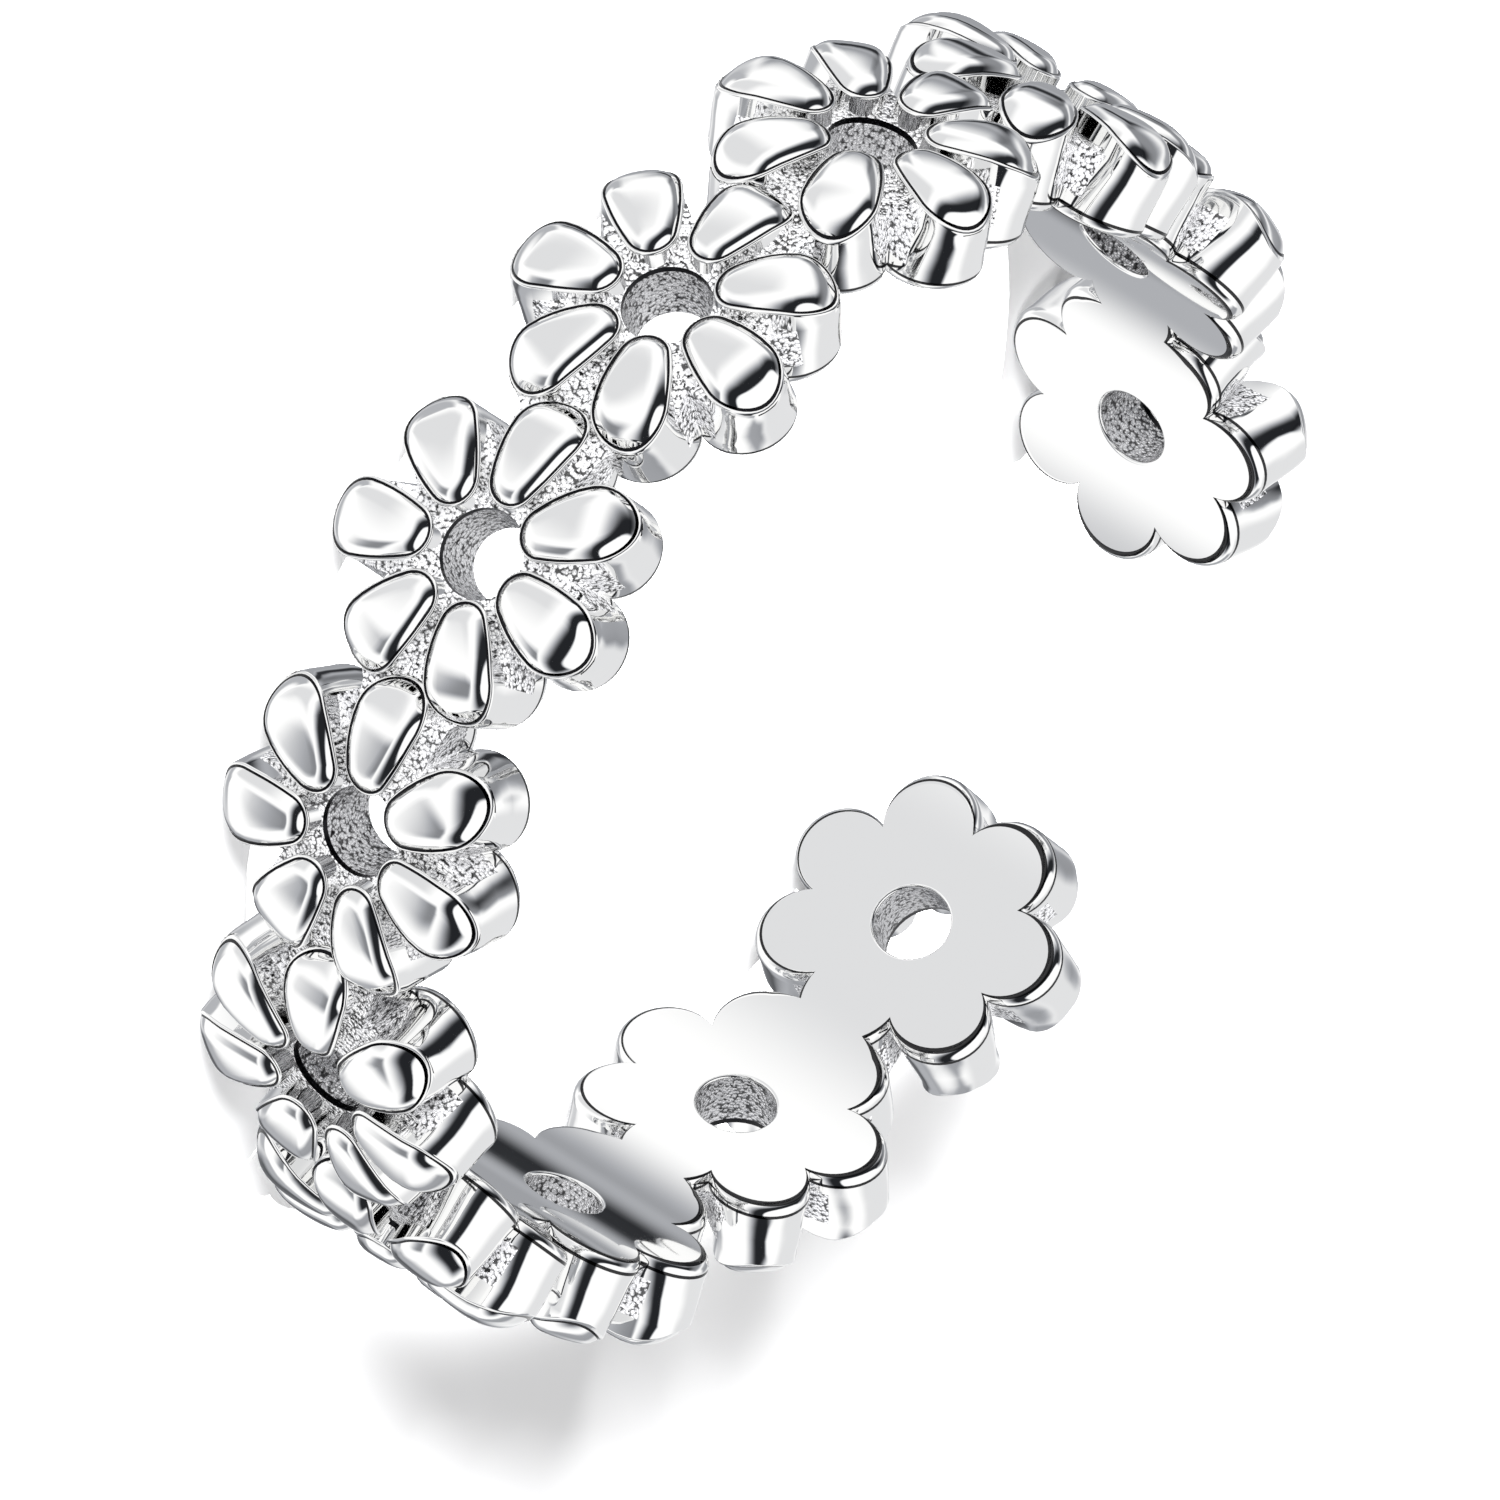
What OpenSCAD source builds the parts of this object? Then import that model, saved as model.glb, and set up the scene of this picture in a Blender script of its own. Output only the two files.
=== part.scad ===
// Open toe ring: a chain of cast daisies bent round the toe. Each daisy has raised
// domed petals, a web between them, a thin scalloped plate under them and a hole
// through its middle. The bore is smooth. Millimetres. The bore runs along Z, and
// the opening between the two ends faces +Y.

/* [Band] */
// Inside radius of the ring
inner_r = 7.75; // [6.5:0.05:10]
// Thickness of the scalloped plate next to the toe
plate_t = 0.35; // [0.3:0.05:0.6]
// Height of the web between the petals, above the bore
web_h = 0.95; // [0.75:0.05:1.05]
// Height of the middle of a petal, above the bore
petal_h = 1.45; // [1.35:0.05:1.7]
// Least opening left between the two ends
opening_min = 1.5; // [1:0.1:3]
// How far neighbouring daisies reach into each other
nest = 0.54; // [0.5:0.01:0.62]

/* [Daisy] */
// Petals of one daisy
petals = 7; // [6:1:7]
// Distance from a daisy's middle to the edge of its plate
daisy_r = 2.24; // [2.2:0.01:2.4]
// How far the tip of a petal stays inside that edge
tip_inset = 0.06; // [0.03:0.01:0.1]
// Distance from a daisy's middle to the inner end of a petal
petal_root = 0.64; // [0.6:0.01:0.7]
// Radius of a petal's broad outer end
petal_end_r = 0.51; // [0.46:0.01:0.54]
// Radius of a petal's narrow inner end
petal_root_r = 0.29; // [0.2:0.01:0.32]
// How much lower the ends of a petal lie than its middle
petal_dome = 0.26; // [0.15:0.01:0.32]
// Radius of the hole through the middle of a daisy
hole_r = 0.55; // [0.4:0.01:0.58]
// Radius of the lobe of the plate under each petal
lobe_r = 0.7; // [0.68:0.01:0.74]

/* [Hidden] */
$fn = 64;
plate_r = inner_r + plate_t;
web_r = inner_r + web_h;
// The flat pattern keeps its own size at this radius and is bent round the bore.
pattern_r = inner_r + web_h / 2;
spacing = 2 * daisy_r - nest;
daisies = floor((2 * PI * pattern_r - opening_min - 2 * daisy_r) / spacing) + 1;
pitch_deg = spacing / pattern_r * 180 / PI;
petal_tip = daisy_r - tip_inset;
petal_mid = (petal_tip + petal_root) / 2;
petal_half = (petal_tip - petal_root) / 2;
dome_r = (petal_half * petal_half + petal_dome * petal_dome) / (2 * petal_dome);
lobe_mid = daisy_r - lobe_r;
// The web fills each daisy to where its lobes part, and each neck to the same width.
web_half = lobe_mid;
neck_half = lobe_r - tip_inset;
// Blanks start this far inside the bore, which then cuts them.
sunk = 0.4;
tall = 2 * daisy_r;

// Ring angle of daisy i; the chain runs clockwise, its middle at -Y.
function daisy_deg(i) = -90 + ((daisies - 1) / 2 - i) * pitch_deg;

// Places a shape drawn in the flat pattern: x along the band, y along Z and
// z outward, at a distance dist from the middle of daisy i in the direction dir.
module on_band(i, dist, dir) {
    rotate([0, 0, daisy_deg(i) + dist * cos(dir) / pattern_r * 180 / PI])
        translate([0, 0, dist * sin(dir)])
            rotate([90, 0, 90])
                rotate([0, 0, dir])
                    children();
}

// The first petal points along the chain, towards the next daisy.
function petal_dir(k) = 180 + k * 360 / petals;

// Egg-shaped outline: a broad and a narrow end joined by straight flanks.
module petal_outline() {
    big = petal_half - petal_end_r;
    small = petal_half - petal_root_r;
    lean = acos((petal_end_r - petal_root_r) / (big + small));
    translate([big, 0]) circle(r = petal_end_r);
    translate([-small, 0]) circle(r = petal_root_r);
    polygon([
        [big - petal_end_r * cos(lean), petal_end_r * sin(lean)],
        [big - petal_end_r * cos(lean), -petal_end_r * sin(lean)],
        [-small - petal_root_r * cos(lean), -petal_root_r * sin(lean)],
        [-small - petal_root_r * cos(lean), petal_root_r * sin(lean)]
    ]);
}

// One petal: upright flanks down through the plate, and a domed top.
module petal() {
    intersection() {
        translate([0, 0, inner_r - sunk])
            linear_extrude(height = sunk + petal_h)
                petal_outline();
        translate([0, 0, inner_r + petal_h - dome_r])
            sphere(r = dome_r);
    }
}

// An upright disc, before the bore and the outside trim it.
module blank(r) {
    translate([0, 0, inner_r - sunk])
        cylinder(r = r, h = 2 * sunk + web_h);
}

// The lobes of the thin plate of daisy i.
module plate_blank(i) {
    for (k = [0 : petals - 1])
        on_band(i, lobe_mid, petal_dir(k)) blank(lobe_r);
}

// The web of daisy i and its neck to the next one.
module web_blank(i) {
    on_band(i, 0, 0) blank(web_half);
    if (i < daisies - 1) on_band(i, spacing / 2, petal_dir(0)) blank(neck_half);
}

module daisy_band() {
    color("silver")
    difference() {
        union() {
            intersection() {
                union() {
                    for (i = [0 : daisies - 1]) plate_blank(i);
                }
                cylinder(r = plate_r, h = tall, center = true);
            }
            intersection() {
                union() {
                    for (i = [0 : daisies - 1]) web_blank(i);
                }
                cylinder(r = web_r, h = tall, center = true);
            }
            for (i = [0 : daisies - 1])
                for (k = [0 : petals - 1])
                    on_band(i, petal_mid, petal_dir(k)) petal();
        }
        cylinder(r = inner_r, h = tall + 2, center = true);
        for (i = [0 : daisies - 1])
            on_band(i, 0, 0)
                translate([0, 0, inner_r - sunk])
                    cylinder(r = hole_r, h = sunk + petal_h);
    }
}

daisy_band();
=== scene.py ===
import math

import bpy
import numpy as np
from mathutils import Matrix, Vector
from mathutils.geometry import delaunay_2d_cdt


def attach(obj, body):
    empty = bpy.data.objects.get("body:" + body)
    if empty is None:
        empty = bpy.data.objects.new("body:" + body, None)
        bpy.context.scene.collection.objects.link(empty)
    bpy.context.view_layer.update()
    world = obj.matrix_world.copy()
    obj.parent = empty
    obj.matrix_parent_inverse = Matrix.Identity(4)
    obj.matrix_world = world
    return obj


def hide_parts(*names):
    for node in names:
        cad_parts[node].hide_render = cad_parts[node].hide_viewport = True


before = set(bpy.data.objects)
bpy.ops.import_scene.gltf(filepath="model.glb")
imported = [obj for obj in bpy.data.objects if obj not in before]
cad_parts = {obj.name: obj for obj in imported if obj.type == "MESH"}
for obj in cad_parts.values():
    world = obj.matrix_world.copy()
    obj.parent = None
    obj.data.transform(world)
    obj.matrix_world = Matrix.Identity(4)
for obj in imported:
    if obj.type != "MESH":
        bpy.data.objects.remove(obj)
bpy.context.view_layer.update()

# The band is made as a flat pattern in millimetres, with x along the band, y across it
# and z outward from the bore. It is then bent round the bore and turned into metres.
MM = 0.001

# As in the CAD source: the bore's radius, the heights of the web and of the petals above
# it, the radius at which the pattern keeps its length, and the daisies with their holes.
INNER_R = 7.75
WEB_Z = 0.95
PETAL_Z = 1.45
PATTERN_R = 8.225
SPACING = 3.94
DAISIES = 12
PETALS = 7
STEP = 2 * math.pi / PETALS
HOLE_R = 0.55

# A lobe of the plate under a petal: the radius of its wall and how far that circle's
# middle lies from the daisy's, how far the flat inner face reaches at the lobe's tip and
# where two lobes part, and how far the web reaches there.
LOBE_R, LOBE_C = 0.70, 1.54
FLAT_TIP, FLAT_CUSP = 2.07, 1.52
WEB_CUSP = 1.32
# Columns of a full lobe's wall that end on the petal, and the lobe's angle that they cover.
FULL_COLS, FULL_PHI = 10, math.radians(72)

# Heights at which the plate's rounded rim, the polished strip above it and the next two
# rows of the wall end.
RIM_Z, STRIP_Z = 0.18, 0.34
WALL_ZS = (STRIP_Z, 0.55, 0.75, WEB_Z)
RIM_ROWS = np.radians(np.linspace(0, 90, 7))
# The rim's rows that carry a painted dark line, a painted reflection, on lobes that point down and
# on the others. A lobe points down where its direction has more than this along y.
LOW_LINES, RIM_LINES = [1], [0, 1, 5]
LOW_SIDE = 0.3

# At a neck between daisies: how far the flat face's corner lies inside the wall's, and
# the web's corner, from the middle of the first daisy.
NECK_INSET = np.array([0.0, -0.085])
NECK_WEB = np.array([1.83, 0.72])

# A petal's egg outline at its top: the broad end's middle and radius, the narrow end's,
# the radius of the flanks that join them, and the degrees between its points' normals.
BROAD_X, BROAD_R = 1.66, 0.485
NARROW_X, NARROW_R = 0.975, 0.335
FLANK_R = 2.6
EGG_STEP = 9.0

# How far a petal's wall stands out at its foot, and how much its normal leans there.
DRAFT, FOOT_LEAN = 0.042, 0.06
# The rounded ledge round the top and the fine line inside it: a shallow groove whose dark is
# painted shade.
LEDGE, LEDGE_Z = 0.03, 0.03
LEDGE_TURNS = (0, 27, 54, 80)
LINE, LINE_DEEP = 0.032, 0.012
LINE_ROWS = ((0, 0), (0.35, -LINE_DEEP), (0.65, -LINE_DEEP), (1, 0))
# The pillow's edge: its depth and width on the flanks, and how much less at the tip.
ROLL, ROLL_LESS = 0.10, 0.05
ROLL_WIDE, ROLL_NARROWER = 0.25, 0.07
TIP_POWER = 1.2
ROLL_ROWS = (0, 0.15, 0.3, 0.5, 0.75, 1.0)
TOP_ROWS = (0.85, 0.7, 0.55, 0.35, 0.2)
TOP_MID = np.array([1.45, 0.0])
# The crown's place, half length, and drop along and across, and the tip's long slope.
CROWN_X, CROWN_HALF = 1.42, 0.75
CROWN_LONG, CROWN_WIDE = 0.10, 0.05
TIP_X, TIP_DROP = 1.30, 0.51

# A daisy's hole: points round it, the rim's rounding, and the flare above FLARE_Z.
HOLE_N = 40
HOLE_ROUND = 0.05
HOLE_FLARE, FLARE_Z = 0.04, 0.35
HOLE_LEAN = 0.07
# Where the hole's painted dark line of shade begins.
HOLE_LINE_Z = WEB_Z - 0.09
WELL_ZS = (HOLE_ROUND, FLARE_Z, 0.65, HOLE_LINE_Z)

# The band widens by this share across itself, from the rim up to the web.
WIDEN = 0.04

# Extra points keep the bent inner face round: their spacing, a nudge that keeps them off
# the pattern's lines of symmetry, how far from a daisy's middle they may lie, and on a
# neck how far from its middle line, and how far past the last daisy's middle.
FACE_GRID, NUDGE_X, NUDGE_Y = 0.35, 0.003, 0.002
FACE_NEAR, FACE_FAR = 0.85, 1.35
NECK_HALF, END_REACH = 0.4, 1.0
# How far from a daisy's middle, between two petals, the flat face and the web surely are.
FLAT_SEED, WEB_SEED = 0.72, 0.60

# Outline points are the same when they agree to this many digits of a millimetre. The
# mesh's points merge when they fall on one step of a grid with this many steps in it.
SAME_DIGITS = 5
WELD = 2e4
# How many of the nearest triangles are searched for a seed.
NEAREST = 12

# What a face is, and how much painted shade the material lays on each kind.
POLISHED, WEB, CREASE, WELL, EDGE = range(5)
SHADES = {CREASE: 1.0, WELL: 0.3, EDGE: 0.97}

# Groups of vertices within which normals are smoothed.
BODY, FLANK, BARREL, GROUND, GROOVE, PILLOW = range(1, 7)


def rot(p, a):
    c, s = math.cos(a), math.sin(a)
    return np.stack([p[..., 0] * c - p[..., 1] * s, p[..., 0] * s + p[..., 1] * c], -1)


def lerp(a, b, t):
    return a + (b - a) * t


def add_z(p, z):
    """Points in the plane with a height added, which may be one for all."""
    z = np.broadcast_to(np.asarray(z, float)[..., None], p.shape[:-1] + (1,))
    return np.concatenate([p, z], -1)


def unit(n):
    return n / np.linalg.norm(n, axis=-1, keepdims=True)


def egg_flank():
    """The middle of the flank's circle, and the normals' angles where the flank ends."""
    a = (FLANK_R - NARROW_R) ** 2 - (FLANK_R - BROAD_R) ** 2
    x = (a + BROAD_X ** 2 - NARROW_X ** 2) / (2 * (BROAD_X - NARROW_X))
    y = math.sqrt((FLANK_R - BROAD_R) ** 2 - (x - BROAD_X) ** 2)
    return x, y, math.atan2(y, BROAD_X - x), math.atan2(y, NARROW_X - x)


FLANK_X, FLANK_Y, NU_BROAD, NU_NARROW = egg_flank()


def egg(nu, inset):
    """Point on the outline, moved in by inset, whose outward normal points at the angle nu."""
    nu = np.asarray(nu, float)
    inset = np.broadcast_to(inset, nu.shape)
    a = np.abs(nu)
    c, s = np.cos(a), np.sin(a)
    broad, flank, narrow = BROAD_R - inset, FLANK_R - inset, NARROW_R - inset
    x = np.where(a <= NU_NARROW, FLANK_X + flank * c, NARROW_X + narrow * c)
    y = np.where(a <= NU_NARROW, -FLANK_Y + flank * s, narrow * s)
    x = np.where(a <= NU_BROAD, BROAD_X + broad * c, x)
    y = np.where(a <= NU_BROAD, broad * s, y)
    return np.stack([x, y * np.sign(nu + 1e-30)], -1)


def egg_normals():
    """The normals' angles at which the outline has points, all the way round."""
    half = np.concatenate([
        np.radians(np.arange(EGG_STEP, 91, EGG_STEP)),
        np.linspace(NU_BROAD, NU_NARROW, 6),
        np.linspace(NU_NARROW, math.pi, 7)[1:-1],
    ])
    return np.concatenate([[0.0], half, [math.pi], -half[::-1]])


NU = egg_normals()


def dome(p):
    """Height of a petal's crown over points of its outline's plane."""
    x = (p[..., 0] - CROWN_X) / CROWN_HALF
    y = p[..., 1] / BROAD_R
    past = np.maximum(p[..., 0] - TIP_X, 0)
    return PETAL_Z - CROWN_LONG * x * x - CROWN_WIDE * y * y - TIP_DROP * past ** 3


def dome_normal(p):
    past = np.maximum(p[..., 0] - TIP_X, 0)
    gx = 2 * CROWN_LONG * (p[..., 0] - CROWN_X) / CROWN_HALF ** 2 + 3 * TIP_DROP * past ** 2
    gy = 2 * CROWN_WIDE * p[..., 1] / BROAD_R ** 2
    return unit(np.stack([gx, gy, np.ones_like(gx)], -1))


class Part:
    """Vertices with normals and smoothing groups, and faces with their kinds."""

    def __init__(self):
        self.pos, self.nor, self.group, self.faces, self.kinds = [], [], [], [], []
        self.n = 0

    def add(self, pos, nor, faces, kinds, group):
        pos = np.asarray(pos, float).reshape(-1, 3)
        nor = np.asarray(nor, float).reshape(-1, 3)
        self.pos.append(pos)
        self.nor.append(nor)
        self.group.append(np.full(len(pos), group))
        self.faces += [tuple(int(i) + self.n for i in f) for f in faces]
        self.kinds += list(np.broadcast_to(kinds, len(faces)))
        self.n += len(pos)


def grid_faces(nr, nc, closed=False, flip=False):
    """Quads between nr rows of nc points, which close on themselves if closed is true."""
    faces = []
    for i in range(nr - 1):
        for j in range(nc if closed else nc - 1):
            k = (j + 1) % nc
            q = (i * nc + j, i * nc + k, (i + 1) * nc + k, (i + 1) * nc + j)
            faces.append(q[::-1] if flip else q)
    return faces


def surface(func, rows, cols):
    """Grid of points func(row, col) with normals from central differences of func."""
    e = 1e-4
    r, c = np.meshgrid(rows, cols, indexing="ij")
    dr = func(r + e, c) - func(r - e, c)
    dc = func(r, c + e) - func(r, c - e)
    n = np.cross(dc, dr)
    n /= np.maximum(np.linalg.norm(n, axis=-1, keepdims=True), 1e-12)
    return func(r, c), n, grid_faces(len(rows), len(cols))


def cusp_phi(c, r):
    """Angle, on a lobe's circle, of the point where it meets the next lobe's circle."""
    b = c * math.cos(STEP / 2)
    rho = b + math.sqrt(b * b - c * c + r * r)
    return math.atan2(rho * math.sin(STEP / 2), rho * math.cos(STEP / 2) - c)


def flat_circle():
    """Middle and radius of the flat face's circle through a lobe's tip and its cusps."""
    k = math.cos(STEP / 2)
    squares = FLAT_TIP ** 2 + FLAT_CUSP ** 2 - 2 * FLAT_TIP * FLAT_CUSP * k
    r = squares / (2 * (FLAT_TIP - FLAT_CUSP * k))
    return FLAT_TIP - r, r


FLAT_C, FLAT_R = flat_circle()
PHI_CUSP, PHI_FLAT = cusp_phi(LOBE_C, LOBE_R), cusp_phi(FLAT_C, FLAT_R)


def neck_corner():
    """Where the lobe that points along the chain meets a lobe of the next daisy."""
    a = np.array([LOBE_C, 0.0])
    t = 3 * STEP
    b = np.array([SPACING + LOBE_C * math.cos(t), LOBE_C * math.sin(t)])
    d = b - a
    n = np.linalg.norm(d)
    h = math.sqrt(LOBE_R ** 2 - n * n / 4)
    return (a + b) / 2 + h * np.array([-d[1], d[0]]) / n


def from_next(p):
    """From the frame of one daisy to that of the next daisy's lobe at three steps."""
    return rot(np.asarray(p, float) - np.array([SPACING, 0.0]), -3 * STEP)


NECK_WALL = neck_corner()
NECK_FLAT = NECK_WALL + NECK_INSET
PHI_NECK = math.atan2(NECK_WALL[1], NECK_WALL[0] - LOBE_C)
JOIN_WALL, JOIN_FLAT, JOIN_WEB = from_next(NECK_WALL), from_next(NECK_FLAT), from_next(NECK_WEB)
PHI_JOIN = math.atan2(JOIN_WALL[1], JOIN_WALL[0] - LOBE_C)


def half_lobe(kind):
    """Half of a lobe's outline, from its tip or neck to its end.

    It is kept as rows of points on the flat face, the wall and the web. The first n_col
    columns between them end on a petal. A full half ends at a cusp, a join ends where the
    neck of the daisy before comes in, and a neck starts where it leaves for the next one.
    """
    n_col = {"full": FULL_COLS, "join": 2, "neck": 0}[kind]
    if kind == "full":
        on_petal = np.linspace(0, FULL_PHI, n_col + 1)
        phi = np.concatenate([on_petal, np.linspace(FULL_PHI, PHI_CUSP, 5)[1:]])
    elif kind == "join":
        phi = np.linspace(0, PHI_JOIN, 5)
    else:
        phi = np.linspace(PHI_NECK, PHI_CUSP, 6)
    wall = np.stack([LOBE_C + LOBE_R * np.cos(phi), LOBE_R * np.sin(phi)], -1)
    on_egg = egg(np.radians(EGG_STEP * np.arange(n_col + 1)), -DRAFT)
    cusp = np.array([math.cos(STEP / 2), math.sin(STEP / 2)])
    end = WEB_CUSP * cusp

    if kind == "full":
        turned = phi * PHI_FLAT / PHI_CUSP
        flat = np.stack([FLAT_C + FLAT_R * np.cos(turned), FLAT_R * np.sin(turned)], -1)
    elif kind == "join":
        tip_in = np.array([FLAT_TIP - LOBE_C - LOBE_R, 0.0])
        flat = wall + lerp(tip_in, JOIN_FLAT - JOIN_WALL, (phi / PHI_JOIN)[:, None])
        wall[-1] = JOIN_WALL
        end = JOIN_WEB
    else:
        t = (phi - PHI_NECK) / (PHI_CUSP - PHI_NECK)
        flat = wall + lerp(NECK_INSET, FLAT_CUSP * cusp - wall[-1], t[:, None])
        wall[0] = NECK_WALL
        on_egg = NECK_WEB[None]

    n_rest = len(phi) - 1 - n_col
    rest = lerp(on_egg[-1], end, (np.arange(1, n_rest + 1) / n_rest)[:, None])
    return dict(flat=flat, wall=wall, web=np.concatenate([on_egg, rest]), n_col=n_col)


HALVES = {k: half_lobe(k) for k in ("full", "join", "neck")}


def curve(points):
    """Smooth curve through points, with one-sided ends, as a function of the index."""
    last = len(points) - 1

    def at(s):
        s = np.asarray(s, float)
        i = np.clip(np.floor(s).astype(int), 0, last - 1)
        t = (s - i)[..., None]
        p0, p1 = points[i], points[i + 1]
        before = np.where((i > 0)[..., None], points[np.maximum(i - 1, 0)], 2 * p0 - p1)
        after = np.where((i < last - 1)[..., None], points[np.minimum(i + 2, last)], 2 * p1 - p0)
        m0, m1 = (p1 - before) / 2, (after - p0) / 2
        t2, t3 = t * t, t * t * t
        start = (2 * t3 - 3 * t2 + 1) * p0 + (t3 - 2 * t2 + t) * m0
        return start + (-2 * t3 + 3 * t2) * p1 + (t3 - t2) * m1

    return at


def build_half(part, kind, place, mirror):
    """Adds the rounded rim and the wall of one half of a lobe."""
    h = HALVES[kind]
    flat, wall, web = curve(h["flat"]), curve(h["wall"]), curve(h["web"])
    cols = np.arange(len(h["flat"]))

    def rim(t, s):
        return add_z(flat(s) + (wall(s) - flat(s)) * np.sin(t)[..., None], RIM_Z * (1 - np.cos(t)))

    def side(z, s):
        w = np.clip((z - RIM_Z) / (WEB_Z - RIM_Z), -1, 2)
        return add_z(lerp(wall(s), web(s), w[..., None]), z)

    def put(func, rows, cs, kinds, group):
        p, n, f = surface(func, rows, cs)
        if mirror:
            p = p * [1, -1, 1]
            n = n * [1, -1, 1]
            f = [q[::-1] for q in f]
        part.add(place(p), place(n, True), f, kinds, group)

    rim_kinds = np.full((len(RIM_ROWS) - 1, len(cols) - 1), POLISHED)
    # Painted reflections: dark lines on some rim rows, fewer on lobes that point down.
    is_low = place(np.array([[1.0, 0.0, 0.0]]), True)[0, 1] > LOW_SIDE
    rim_kinds[LOW_LINES if is_low else RIM_LINES] = EDGE
    put(rim, RIM_ROWS, cols, rim_kinds.ravel(), BODY)

    k = h["n_col"]
    put(side, np.array([RIM_Z, STRIP_Z]), cols, POLISHED, BODY)
    if k:
        put(side, np.array(WALL_ZS), cols[: k + 1], POLISHED, BODY)
    put(side, np.array(WALL_ZS), cols[k:], WEB, FLANK)


def build_petal(part, place):
    """Adds a petal from the web up: wall, narrow ledge, a fine groove painted dark as painted
    shade, and the pillowed top.
    """
    nu = NU
    out = np.stack([np.cos(nu), np.sin(nu), np.zeros_like(nu)], -1)
    tip = np.maximum(np.cos(nu), 0) ** TIP_POWER
    roll = ROLL - ROLL_LESS * tip
    width = ROLL_WIDE - ROLL_NARROWER * tip

    def rings(rows, kind, group):
        pos = np.concatenate([p for p, _ in rows])
        nor = np.concatenate([n for _, n in rows])
        part.add(place(pos), place(nor, True), grid_faces(len(rows), len(nu), True), kind, group)

    def sloped(p, slope):
        return unit(out * slope[:, None] + dome_normal(p) / dome_normal(p)[:, 2:3])

    foot_normal = out * math.cos(FOOT_LEAN) + np.array([0, 0, math.sin(FOOT_LEAN)])
    foot = (add_z(egg(nu, -DRAFT), WEB_Z), foot_normal)
    p = egg(nu, -LEDGE)
    rings([foot, (add_z(p, dome(p) - roll - LEDGE_Z), out)], POLISHED, BODY)

    rows = []
    last = math.radians(LEDGE_TURNS[-1])
    for t in np.radians(LEDGE_TURNS):
        p = egg(nu, LEDGE * ((1 - math.cos(t)) / (1 - math.cos(last)) - 1))
        z = dome(p) - roll - LEDGE_Z * (1 - math.sin(t) / math.sin(last))
        rows.append((add_z(p, z), out * math.cos(t) + np.array([0, 0, math.sin(t)])))
    rings(rows, POLISHED, BODY)

    rows = []
    for d, z in LINE_ROWS:
        p = egg(nu, LINE * d)
        rows.append((add_z(p, dome(p) - roll + z), sloped(p, 0 * nu)))
    # The groove's faces carry painted shade, drawn almost black.
    rings(rows, CREASE, GROOVE)

    rows = []
    for d in ROLL_ROWS:
        p = egg(nu, LINE + width * d)
        slope = 3 * roll / width * (1 - d) ** 2
        rows.append((add_z(p, dome(p) - roll * (1 - d) ** 3), sloped(p, slope)))
    inner = p
    for k in TOP_ROWS:
        p = TOP_MID + (inner - TOP_MID) * k
        rows.append((add_z(p, dome(p)), dome_normal(p)))
    rings(rows, POLISHED, PILLOW)
    cap = np.concatenate([p, TOP_MID[None]])
    fan = [(j, (j + 1) % len(nu), len(nu)) for j in range(len(nu))]
    part.add(place(add_z(cap, dome(cap))), place(dome_normal(cap), True), fan, POLISHED, PILLOW)


def circle(radius):
    a = np.arange(HOLE_N) * 2 * math.pi / HOLE_N
    return np.stack([radius * np.cos(a), radius * np.sin(a)], -1)


def build_hole(part, place):
    """Adds a daisy's hole: its rounded rim at the bore, its wall with some painted shade, and a
    painted dark line of shade on top.
    """

    def rings(rows, kind, group):
        pos = np.concatenate([add_z(circle(r), z) for r, z, _, _ in rows])
        nor = np.concatenate([add_z(circle(n_r), n_z) for _, _, n_r, n_z in rows])
        faces = grid_faces(len(rows), HOLE_N, True, True)
        part.add(place(pos), place(nor, True), faces, kind, group)

    def wall(heights):
        flare = [HOLE_FLARE * max(z - FLARE_Z, 0) / (WEB_Z - FLARE_Z) for z in heights]
        return [(HOLE_R + f, z, -1, HOLE_LEAN) for f, z in zip(flare, heights)]

    rim = []
    for t in np.radians([0, 30, 60, 90]):
        s, c = math.sin(t), math.cos(t)
        rim.append((HOLE_R + HOLE_ROUND * (1 - s), HOLE_ROUND * (1 - c), -s, -c))
    rings(rim, POLISHED, BODY)
    # The wall is darkened by painted shade.
    rings(wall(WELL_ZS), WELL, BARREL)
    # The top strip is a painted dark line of shade.
    rings(wall((HOLE_LINE_Z, WEB_Z)), CREASE, BARREL)


def placer(i, turn):
    """Places a lobe's own frame in the flat pattern: daisy i, turned by an angle."""
    off = (i - (DAISIES - 1) / 2) * SPACING

    def place(p, direction=False):
        q = p.copy()
        q[..., :2] = rot(p[..., :2], turn)
        if not direction:
            q[..., 0] += off
        return q

    return place


def side_kind(i, k, side):
    """The kind of outline on one side (+1 or -1) of petal k of daisy i."""
    if k == 0 and i < DAISIES - 1:
        return "neck"
    if i > 0 and ((k == 3 and side > 0) or (k == 4 and side < 0)):
        return "join"
    return "full"


def placed(points, i, turn):
    return placer(i, turn)(add_z(points, 0))[:, :2]


def lobe_lines(name):
    """One outline of the whole pattern, as open lines. The web's leaves the petals out."""
    lines = []
    for i in range(DAISIES):
        for k in range(PETALS):
            for side in (1, -1):
                h = HALVES[side_kind(i, k, side)]
                p = h[name][h["n_col"]:] if name == "web" else h[name]
                lines.append((placed(p * [1, side], i, k * STEP), False))
    return lines


def hole_loops(radius):
    return [(placed(circle(radius), i, 0.0), True) for i in range(DAISIES)]


def petal_loops():
    outline = egg(NU, -DRAFT)
    return [(placed(outline, i, k * STEP), True) for i in range(DAISIES) for k in range(PETALS)]


def edges_of(triangle):
    a, b, c = triangle
    return [tuple(sorted(e)) for e in ((a, b), (b, c), (c, a))]


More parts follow.
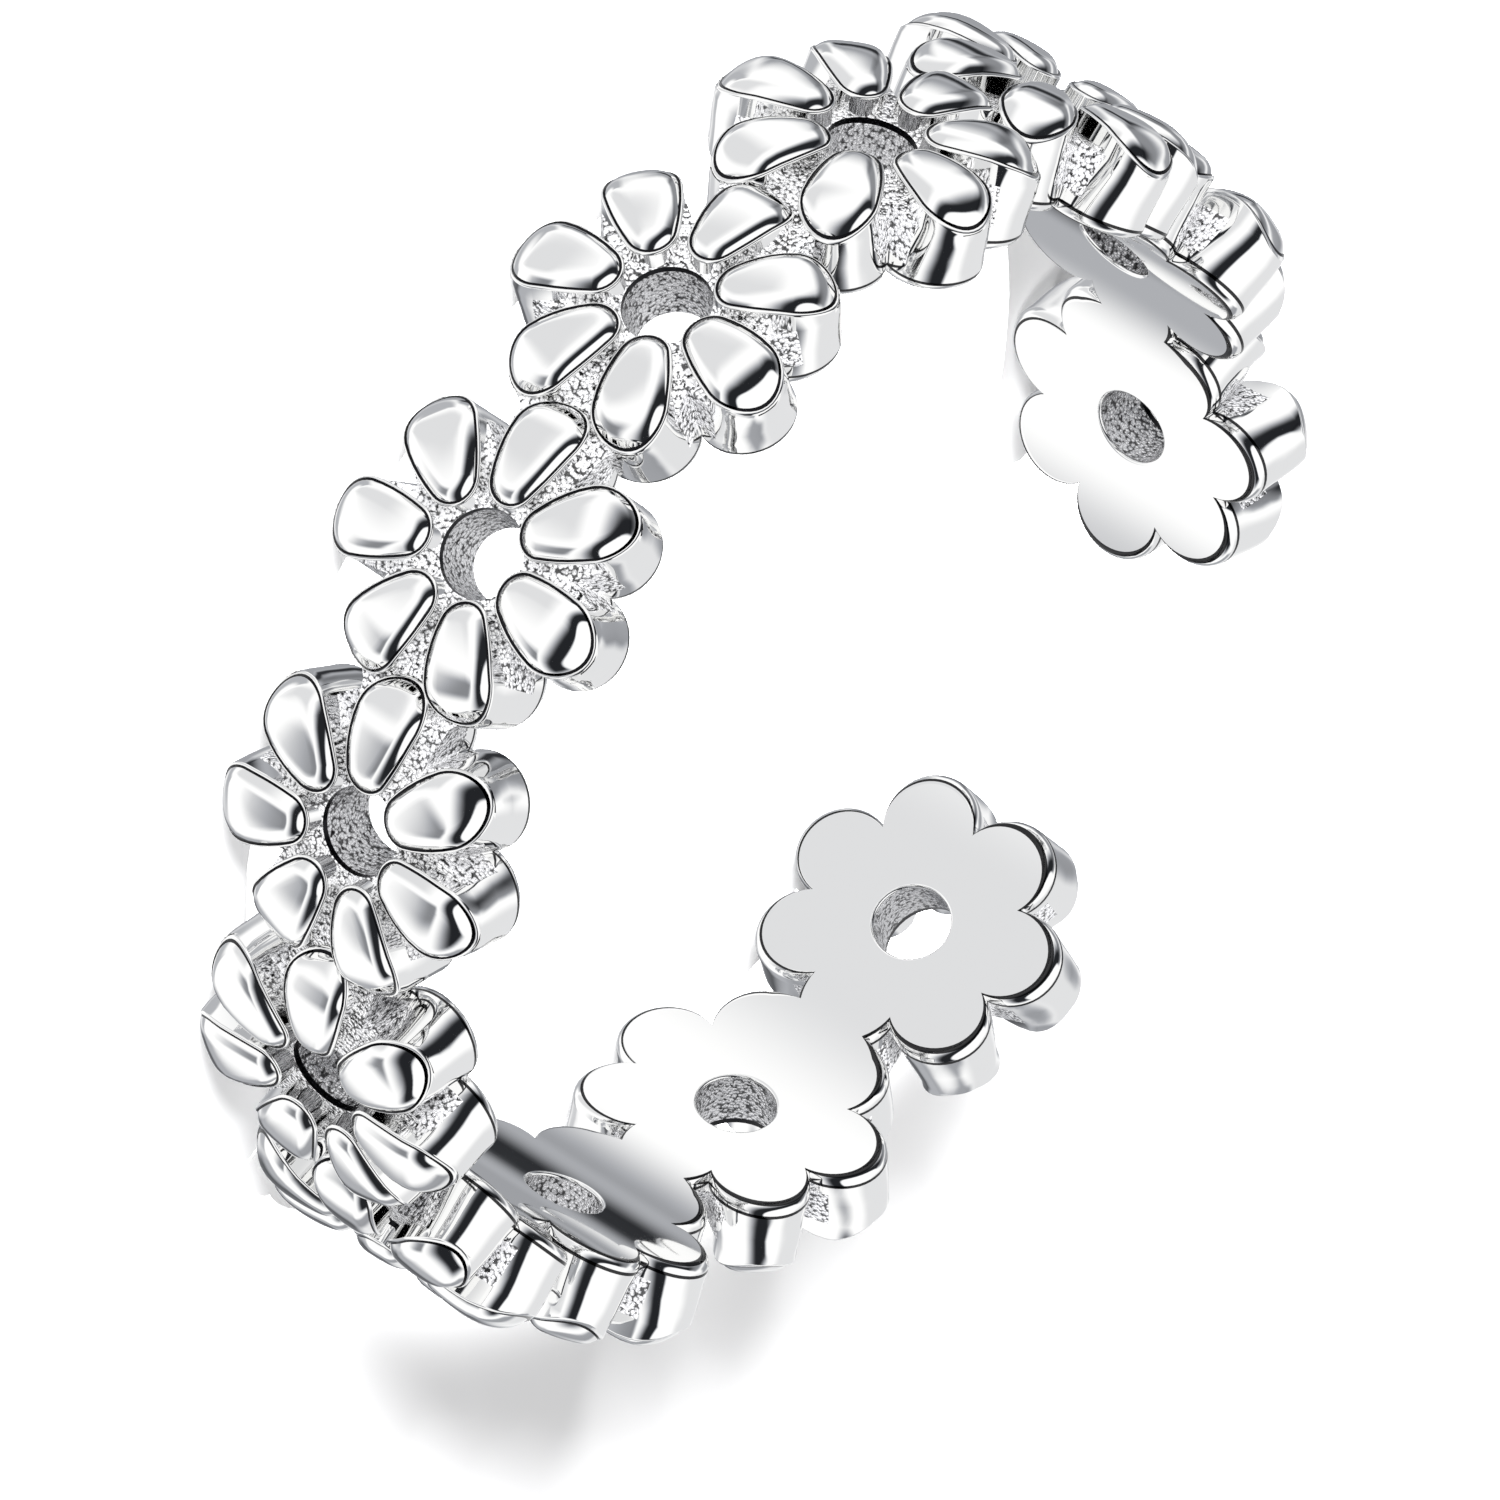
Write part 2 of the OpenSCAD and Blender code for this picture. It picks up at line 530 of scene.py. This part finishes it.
def find_triangle(point, vs, tris, centres):
    """The triangle that holds a point, among those whose centres are nearest to it."""
    for n in np.argsort(((centres - point) ** 2).sum(1))[:NEAREST]:
        a, b, c = (vs[v] for v in tris[n])
        m = np.array([b - a, c - a]).T
        if abs(np.linalg.det(m)) < 1e-14:
            continue
        w = np.linalg.solve(m, np.asarray(point) - a)
        if w[0] >= -1e-9 and w[1] >= -1e-9 and w.sum() <= 1 + 1e-9:
            return int(n)
    return None


def fill(lines, seeds, extra=()):
    """Triangulates the region that holds the seeds and is bounded by the lines."""
    index, pts, edges = {}, [], set()

    def vert(p):
        key = (round(p[0], SAME_DIGITS), round(p[1], SAME_DIGITS))
        if key not in index:
            index[key] = len(pts)
            pts.append((float(p[0]), float(p[1])))
        return index[key]

    for line, closed in lines:
        ids = [vert(p) for p in line]
        pairs = list(zip(ids, ids[1:])) + ([(ids[-1], ids[0])] if closed else [])
        edges |= {tuple(sorted(e)) for e in pairs if e[0] != e[1]}
    for p in extra:
        vert(p)
    out, _, tris, made_from, _, _ = delaunay_2d_cdt(pts, sorted(edges), [], 0, 1e-7)
    vs = np.array([tuple(v) for v in out], float)
    new_id = {}
    for n, old in enumerate(made_from):
        for o in old:
            new_id[o] = n
            vs[n] = pts[o]
    bound = {tuple(sorted((new_id[a], new_id[b]))) for a, b in edges}
    by_edge = {}
    for n, t in enumerate(tris):
        for e in edges_of(t):
            by_edge.setdefault(e, []).append(n)

    # Grows from each seed over every edge that no line bounds.
    centres = np.array([vs[list(t)].mean(0) for t in tris])
    seen = set()
    for seed in seeds:
        start = find_triangle(seed, vs, tris, centres)
        if start is None or start in seen:
            continue
        todo = [start]
        seen.add(start)
        while todo:
            for e in edges_of(tris[todo.pop()]):
                fresh = [] if e in bound else [m for m in by_edge[e] if m not in seen]
                seen.update(fresh)
                todo += fresh

    faces = []
    for n in sorted(seen):
        t = tris[n]
        a, b, c = (vs[v] for v in t)
        area = (b[0] - a[0]) * (c[1] - a[1]) - (b[1] - a[1]) * (c[0] - a[0])
        faces.append(tuple(t) if area > 0 else tuple(t[::-1]))
    return vs, faces


def build_flat(part):
    """Adds the smooth inner face and the web between the petals."""
    reach = (DAISIES - 1) / 2 * SPACING
    centres = [(i - (DAISIES - 1) / 2) * SPACING for i in range(DAISIES)]
    extra = []
    for x in np.arange(-reach - 2 * END_REACH, reach + 2 * END_REACH, FACE_GRID):
        for y in np.arange(-5 * FACE_GRID, 5 * FACE_GRID + 0.01, FACE_GRID):
            d = min(math.hypot(x - c, y) for c in centres)
            on_neck = abs(y) < NECK_HALF and d > FACE_NEAR and abs(x) < reach + END_REACH
            if FACE_NEAR < d < FACE_FAR or on_neck:
                extra.append((x + NUDGE_X, y + NUDGE_Y))

    def seeds(r):
        """One point in each daisy, between two petals and outside the hole."""
        return [(c + r * math.cos(STEP / 2), r * math.sin(STEP / 2)) for c in centres]

    lines = lobe_lines("flat") + hole_loops(HOLE_R + HOLE_ROUND)
    vs, faces = fill(lines, seeds(FLAT_SEED), extra)
    nor = np.tile([0.0, 0.0, -1.0], (len(vs), 1))
    part.add(add_z(vs, 0), nor, [f[::-1] for f in faces], POLISHED, BODY)

    lines = lobe_lines("web") + petal_loops() + hole_loops(HOLE_R + HOLE_FLARE)
    vs, faces = fill(lines, seeds(WEB_SEED))
    nor = np.tile([0.0, 0.0, 1.0], (len(vs), 1))
    part.add(add_z(vs, WEB_Z), nor, faces, WEB, GROUND)


def widened(z):
    """How much the pattern is stretched across at a height, and how fast that grows."""
    t = np.clip((z - RIM_Z) / (WEB_Z - RIM_Z), 0, 1)
    return 1 + WIDEN * t * t * (3 - 2 * t), WIDEN * 6 * t * (1 - t) / (WEB_Z - RIM_Z)


def bend(p):
    """The pattern's points round the bore, with the chain's middle at -Y."""
    a = -math.pi / 2 - p[:, 0] / PATTERN_R
    r = INNER_R + p[:, 2]
    return np.stack([r * np.cos(a), r * np.sin(a), -p[:, 1] * widened(p[:, 2])[0]], -1)


def bend_normal(p, n):
    a = -math.pi / 2 - p[:, 0] / PATTERN_R
    r = (INNER_R + p[:, 2]) / PATTERN_R
    along = np.stack([np.sin(a), -np.cos(a), 0 * a], -1)
    outward = np.stack([np.cos(a), np.sin(a), 0 * a], -1)
    across = np.tile([0.0, 0.0, -1.0], (len(p), 1))
    grown, growth = widened(p[:, 2])
    ny = n[:, 1] / grown
    nz = n[:, 2] - ny * p[:, 1] * growth
    q = along * (n[:, 0] / r)[:, None] + across * ny[:, None] + outward * nz[:, None]
    return q / np.maximum(np.linalg.norm(q, axis=1, keepdims=True), 1e-12)


def weld(part):
    """One closed mesh: positions merge, and normals merge within a smoothing group."""
    pos = np.concatenate(part.pos)
    nor = np.concatenate(part.nor)
    group = np.concatenate(part.group)
    key = np.round(pos * WELD).astype(np.int64)
    _, first, merged = np.unique(key, axis=0, return_index=True, return_inverse=True)
    merged = merged.ravel()
    group_key = np.concatenate([key, group[:, None].astype(np.int64)], 1)
    _, shared = np.unique(group_key, axis=0, return_inverse=True)
    shared = shared.ravel()
    total = np.zeros((shared.max() + 1, 3))
    np.add.at(total, shared, nor)
    total /= np.maximum(np.linalg.norm(total, axis=1, keepdims=True), 1e-12)
    nor = bend_normal(pos, total[shared])

    faces, kinds, loops = [], [], []
    for f, kind in zip(part.faces, part.kinds):
        ids = [int(merged[v]) for v in f]
        keep = [n for n in range(len(f)) if ids[n] != ids[n - 1]]
        if len(keep) < 3 or len(set(ids)) < 3:
            continue
        faces.append([ids[n] for n in keep])
        kinds.append(kind)
        loops += [nor[f[n]] for n in keep]
    return bend(pos[first]), faces, np.array(kinds), loops


def linked(name, data):
    """A new object in the scene."""
    ob = bpy.data.objects.new(name, data)
    bpy.context.collection.objects.link(ob)
    return ob


def keep_value(mesh, name, domain, values):
    """Stores a number for each face or point, for the material to read."""
    attr = mesh.attributes.new(name, "FLOAT", domain)
    attr.data.foreach_set("value", values.astype(np.float32))


def make_band():
    part = Part()
    for i in range(DAISIES):
        for k in range(PETALS):
            place = placer(i, k * STEP)
            build_petal(part, place)
            for side in (1, -1):
                build_half(part, side_kind(i, k, side), place, side < 0)
        build_hole(part, placer(i, 0.0))
    build_flat(part)
    verts, faces, kinds, loops = weld(part)
    me = bpy.data.meshes.new("daisy_chain")
    me.from_pydata((verts * MM).tolist(), [], faces)
    me.polygons.foreach_set("use_smooth", [True] * len(me.polygons))
    keep_value(me, "grain", "FACE", (kinds == WEB) | (kinds == WELL))
    # Each face's painted shade, for the material to read.
    keep_value(me, "shade", "FACE", sum(v * (kinds == kind) for kind, v in SHADES.items()))
    me.update()
    me.normals_split_custom_set([tuple(n) for n in loops])
    return linked("daisy_chain", me)


band = make_band()


def new_material(name, shader="ShaderNodeBsdfPrincipled"):
    m = bpy.data.materials.new(name)
    m.use_nodes = True
    nt = m.node_tree
    nt.nodes.clear()
    out = nt.nodes.new("ShaderNodeOutputMaterial")
    surface_node = nt.nodes.new(shader)
    nt.links.new(surface_node.outputs[0], out.inputs[0])
    return m, nt, surface_node


# The cast grain: beads under a tenth of a millimetre across, with painted shade darkening the gaps
# between them and the pits.
BEAD_SCALE = 18500
PIT_SCALE, PIT_DETAIL, PIT_ROUGH = 11500, 2.5, 0.6
GAP_STOPS = ((0.42, 1.0), (0.58, 0.8), (0.75, 0.1))
PIT_STOPS = ((0.34, 0.03), (0.40, 0.95), (0.50, 1.0))
GRAIN_DEPTH = 0.000022
GRAIN_ROUGH, GRAIN_METAL = 0.18, 0.86

# The polished metal: its colour, the near black of the painted shade and painted reflections on
# its creases, rim lines and holes, and a very shallow long wave, because it is never quite flat.
SILVER = (0.95, 0.95, 0.945, 1)
PAINTED_SHADE_BLACK = (0.012, 0.012, 0.014, 1)
WAVE_SCALE, WAVE_DEPTH, WAVE_STRENGTH = 900, 0.000004, 0.25

# Fine wear: the noise's scale and detail, its range, and the roughness that it gives.
WEAR_SCALE, WEAR_DETAIL = 2500, 4.0
WEAR = (("From Min", 0.3), ("From Max", 0.7), ("To Min", 0.02), ("To Max", 0.06))


def silver():
    m, nt, bsdf = new_material("silver")
    new, link = nt.nodes.new, nt.links.new
    coord = new("ShaderNodeTexCoord")

    def kept(name):
        n = new("ShaderNodeAttribute")
        n.attribute_name = name
        return n.outputs["Fac"]

    def noise(scale, detail, rough=0.5):
        n = new("ShaderNodeTexNoise")
        n.inputs["Scale"].default_value = scale
        n.inputs["Detail"].default_value = detail
        n.inputs["Roughness"].default_value = rough
        link(coord.outputs["Object"], n.inputs["Vector"])
        return n.outputs["Fac"]

    def beads(scale):
        n = new("ShaderNodeTexVoronoi")
        n.inputs["Scale"].default_value = scale
        link(coord.outputs["Object"], n.inputs["Vector"])
        return n.outputs["Distance"]

    def ramp(x, stops):
        """A grey ramp, very slightly blue."""
        n = new("ShaderNodeValToRGB")
        for e, (at, v) in zip(n.color_ramp.elements, (stops[0], stops[-1])):
            e.position, e.color = at, (v, v, v * 1.01, 1)
        for at, v in stops[1:-1]:
            n.color_ramp.elements.new(at).color = (v, v, v * 1.01, 1)
        link(x, n.inputs["Fac"])
        return n.outputs["Color"]

    def mix(kind, fac, a, b, blend="MIX"):
        n = new("ShaderNodeMix")
        n.data_type = kind
        n.blend_type = blend
        pick = {"FLOAT": (2, 3), "RGBA": (6, 7)}[kind]
        for slot, x in zip((n.inputs[0], n.inputs[pick[0]], n.inputs[pick[1]]), (fac, a, b)):
            if isinstance(x, (int, float, tuple)):
                slot.default_value = x
            else:
                link(x, slot)
        return n.outputs[0 if kind == "FLOAT" else 2]

    def bump(height, depth):
        n = new("ShaderNodeBump")
        n.inputs["Distance"].default_value = depth
        link(height, n.inputs["Height"])
        return n

    grain, shade = kept("grain"), kept("shade")
    pits = noise(PIT_SCALE, PIT_DETAIL, PIT_ROUGH)
    cells = beads(BEAD_SCALE)

    height = new("ShaderNodeMath")
    height.operation = "SUBTRACT"
    link(pits, height.inputs[0])
    link(cells, height.inputs[1])
    cast_bump = bump(height.outputs[0], GRAIN_DEPTH)
    link(grain, cast_bump.inputs["Strength"])
    wave = bump(noise(WAVE_SCALE, 1.0), WAVE_DEPTH)
    wave.inputs["Strength"].default_value = WAVE_STRENGTH
    link(cast_bump.outputs[0], wave.inputs["Normal"])
    link(wave.outputs[0], bsdf.inputs["Normal"])

    # Painted shade: the grain's colour darkens in the bump's low gaps and pits.
    cast = mix("RGBA", 1.0, ramp(cells, GAP_STOPS), ramp(pits, PIT_STOPS), "MULTIPLY")
    base = mix("RGBA", grain, SILVER, cast)
    # Painted shade and painted reflections: each face is darkened towards near black by its shade
    # value.
    link(mix("RGBA", shade, base, PAINTED_SHADE_BLACK), bsdf.inputs["Base Color"])

    worn = new("ShaderNodeMapRange")
    for key, v in WEAR:
        worn.inputs[key].default_value = v
    link(noise(WEAR_SCALE, WEAR_DETAIL), worn.inputs["Value"])
    link(mix("FLOAT", grain, worn.outputs["Result"], GRAIN_ROUGH), bsdf.inputs["Roughness"])
    link(mix("FLOAT", grain, 1.0, GRAIN_METAL), bsdf.inputs["Metallic"])
    return m


def floor_material():
    """Nearly white, faintly mottled and matt."""
    m, nt, bsdf = new_material("pale_floor")
    coord = nt.nodes.new("ShaderNodeTexCoord")
    n = nt.nodes.new("ShaderNodeTexNoise")
    n.inputs["Scale"].default_value = 60
    nt.links.new(coord.outputs["Object"], n.inputs["Vector"])
    ramp = nt.nodes.new("ShaderNodeValToRGB")
    ramp.color_ramp.elements[0].color = (0.93, 0.93, 0.935, 1)
    ramp.color_ramp.elements[1].color = (0.95, 0.95, 0.955, 1)
    nt.links.new(n.outputs["Fac"], ramp.inputs["Fac"])
    nt.links.new(ramp.outputs["Color"], bsdf.inputs["Base Color"])
    bsdf.inputs["Roughness"].default_value = 0.7
    return m


band.data.materials.append(silver())
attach(band, "root")
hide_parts("daisy_band")

# The floor lies just under the band, and the silver doesn't mirror it.
low = min(v.co.z for v in band.data.vertices)
bpy.ops.mesh.primitive_plane_add(size=1.2, location=(0, 0, low))
floor = bpy.context.object
floor.name = "floor"
floor.data.materials.append(floor_material())
floor.visible_glossy = False

# The camera at the photo's angle: the rows are its right, down and forward directions.
VIEW = Matrix((
    (-0.3902813993910013, 0.5230226559733265, 0.7577121687210844),
    (0.8841243998545147, -0.01674403403532587, 0.4669514781067919),
    (0.2569133606321314, 0.852154292756207, -0.455882206787974),
))
DOWN_TO_UP = Matrix(((1, 0, 0), (0, -1, 0), (0, 0, -1)))
CAMERA_PLACE = (-0.13581009, -0.45327685, 0.24279509)

camera = bpy.data.cameras.new("camera")
camera.lens = 960
camera.sensor_width = 36
camera.clip_start = 0.01
camera.clip_end = 20
camera_ob = linked("camera", camera)
turn = (VIEW.transposed() @ DOWN_TO_UP).to_4x4()
camera_ob.matrix_world = Matrix.Translation(CAMERA_PLACE) @ turn
bpy.context.scene.camera = camera_ob


def heading(az, el):
    """Unit vector at a compass angle and a height, both in degrees."""
    a, e = math.radians(az), math.radians(el)
    return Vector((math.cos(e) * math.cos(a), math.cos(e) * math.sin(a), math.sin(e)))


def softbox(name, az, el, power, dist=0.6, size=0.20):
    """A soft light aimed at the ring, which the polished silver doesn't mirror."""
    light = bpy.data.lights.new(name, "AREA")
    light.shape = "DISK"
    light.size = size
    light.energy = power
    ob = linked(name, light)
    turned = heading(az, el).to_track_quat("Z", "Y").to_matrix().to_4x4()
    ob.matrix_world = Matrix.Translation(dist * heading(az, el)) @ turned
    ob.visible_glossy = False


def snoot(name, x, y, height, reach, power):
    """A narrow light from straight above that keeps the floor inside the ring bright."""
    light = bpy.data.lights.new(name, "SPOT")
    light.spot_size = 2 * math.atan(reach / height)
    light.spot_blend = 0.4
    light.shadow_soft_size = 0.001
    light.energy = power
    ob = linked(name, light)
    ob.location = (x, y, height)
    ob.visible_glossy = False


softbox("key", az=-124, el=21, power=16.0)
softbox("fill", az=-62, el=30, power=2.4)
snoot("inside", x=-0.001, y=0.0035, height=0.4, reach=0.0125, power=18)

world = bpy.data.worlds.new("studio")
bpy.context.scene.world = world
world.use_nodes = True
world.node_tree.nodes["Background"].inputs["Color"].default_value = (1, 1, 1, 1)
world.node_tree.nodes["Background"].inputs["Strength"].default_value = 0.32
bpy.context.scene.view_settings.view_transform = "Standard"

# What the silver mirrors: a white tent with soft dark flags in it. Each flag gives the
# compass angles and heights, in degrees, between which it hangs, the softness of its
# ends, of its lower and of its upper edge, and the share of light that it leaves.
FLAGS = (
    (-72, -36, -28, 3, 18, 46, 8, 0.24),
    (14, 48, -50, -10, 22, 14, 10, 0.42),
    (40, 64, -44, -18, 11, 11, 11, 0.16),
    (70, 114, -50, -18, 16, 12, 12, 0.34),
    (113, 128, -44, -16, 10, 12, 12, 0.03),
    (126, 145, -46, -14, 22, 12, 12, 0.32),
    (124, 152, -20, 44, 14, 12, 12, 0.26),
    (-168, -100, -84, -15, 30, 26, 20, 0.72),
    (20, 175, -74, -52, 12, 12, 12, 0.45),
    (22, 42, -12, 30, 10, 10, 10, 0.35),
    (92, 116, -16, 26, 12, 12, 12, 0.35),
    (40, 100, -10, 58, 26, 26, 26, 0.74),
)

# A dark belt above the camera's side, soft below and crisp above: its middle, how far
# from that it fades out, the heights between which its edges fade, and its darkness.
BELT_MID, BELT_ENDS = -108, (100, 124)
BELT_LOW, BELT_HIGH = (6, 32), (46, 51)
BELT_DARK = 0.985

# The tent's tones, from dark to white, and its brightness.
TONES = ((0.0, (0.002, 0.003, 0.005, 1)), (0.4, (0.385, 0.395, 0.42, 1)), (1.0, (1, 1, 1, 1)))
TENT_GLOW = 1.08


def smooth(x, x0, x1):
    t = np.clip((x - x0) / (x1 - x0), 0, 1)
    return t * t * (3 - 2 * t)


def apart(az, mid):
    """How many degrees a compass angle lies from another."""
    return np.abs((az - mid + 180) % 360 - 180)


def room(az, el):
    """Light in the tent by compass angle and height."""
    light = np.ones_like(az)
    for a0, a1, e0, e1, soft, soft_low, soft_high, level in FLAGS:
        off, half = apart(az, (a0 + a1) / 2), (a1 - a0) / 2
        cover = 1 - smooth(off, half - soft / 2, half + soft / 2)
        cover = cover * smooth(el, e0 - soft_low / 2, e0 + soft_low / 2)
        cover = cover * (1 - smooth(el, e1 - soft_high / 2, e1 + soft_high / 2))
        light = light * (1 - (1 - level) * cover)
    ends = 1 - smooth(apart(az, BELT_MID), *BELT_ENDS)
    belt = smooth(el, *BELT_LOW) * (1 - smooth(el, *BELT_HIGH)) * ends
    return light * (1 - BELT_DARK * belt)


def tent_cloth():
    m, nt, glow = new_material("tent_cloth", "ShaderNodeEmission")
    m.cycles.emission_sampling = "NONE"
    level = nt.nodes.new("ShaderNodeAttribute")
    level.attribute_name = "light"
    tone = nt.nodes.new("ShaderNodeValToRGB")
    elements = tone.color_ramp.elements
    elements.new(TONES[1][0])
    for element, (_, colour) in zip(elements, TONES):
        element.color = colour
    nt.links.new(level.outputs["Fac"], tone.inputs["Fac"])
    nt.links.new(tone.outputs["Color"], glow.inputs["Color"])
    glow.inputs["Strength"].default_value = TENT_GLOW
    return m


def make_tent(radius=0.9, step=1.5):
    """A ball round the scene that only mirroring surfaces see."""
    az = np.arange(-180, 180, step)
    el = np.arange(-90 + step, 90, step)
    e, a = np.meshgrid(el, az, indexing="ij")
    er, ar = np.radians(e), np.radians(a)
    pos = np.stack([np.cos(er) * np.cos(ar), np.cos(er) * np.sin(ar), np.sin(er)], -1)
    pos = np.concatenate([pos.reshape(-1, 3), [[0, 0, -1], [0, 0, 1]]]) * radius
    light = np.concatenate([room(a, e).ravel(), room(np.zeros(2), np.array([-90.0, 90.0]))])
    faces = grid_faces(len(el), len(az), True)
    south, north, n = len(pos) - 2, len(pos) - 1, len(az)
    faces += [(south, (j + 1) % n, j) for j in range(n)]
    top = (len(el) - 1) * n
    faces += [(north, top + j, top + (j + 1) % n) for j in range(n)]
    me = bpy.data.meshes.new("tent")
    me.from_pydata(pos.tolist(), [], faces)
    keep_value(me, "light", "POINT", light)
    me.materials.append(tent_cloth())
    ob = linked("tent", me)
    ob.visible_camera = ob.visible_diffuse = ob.visible_shadow = ob.visible_transmission = False


make_tent()
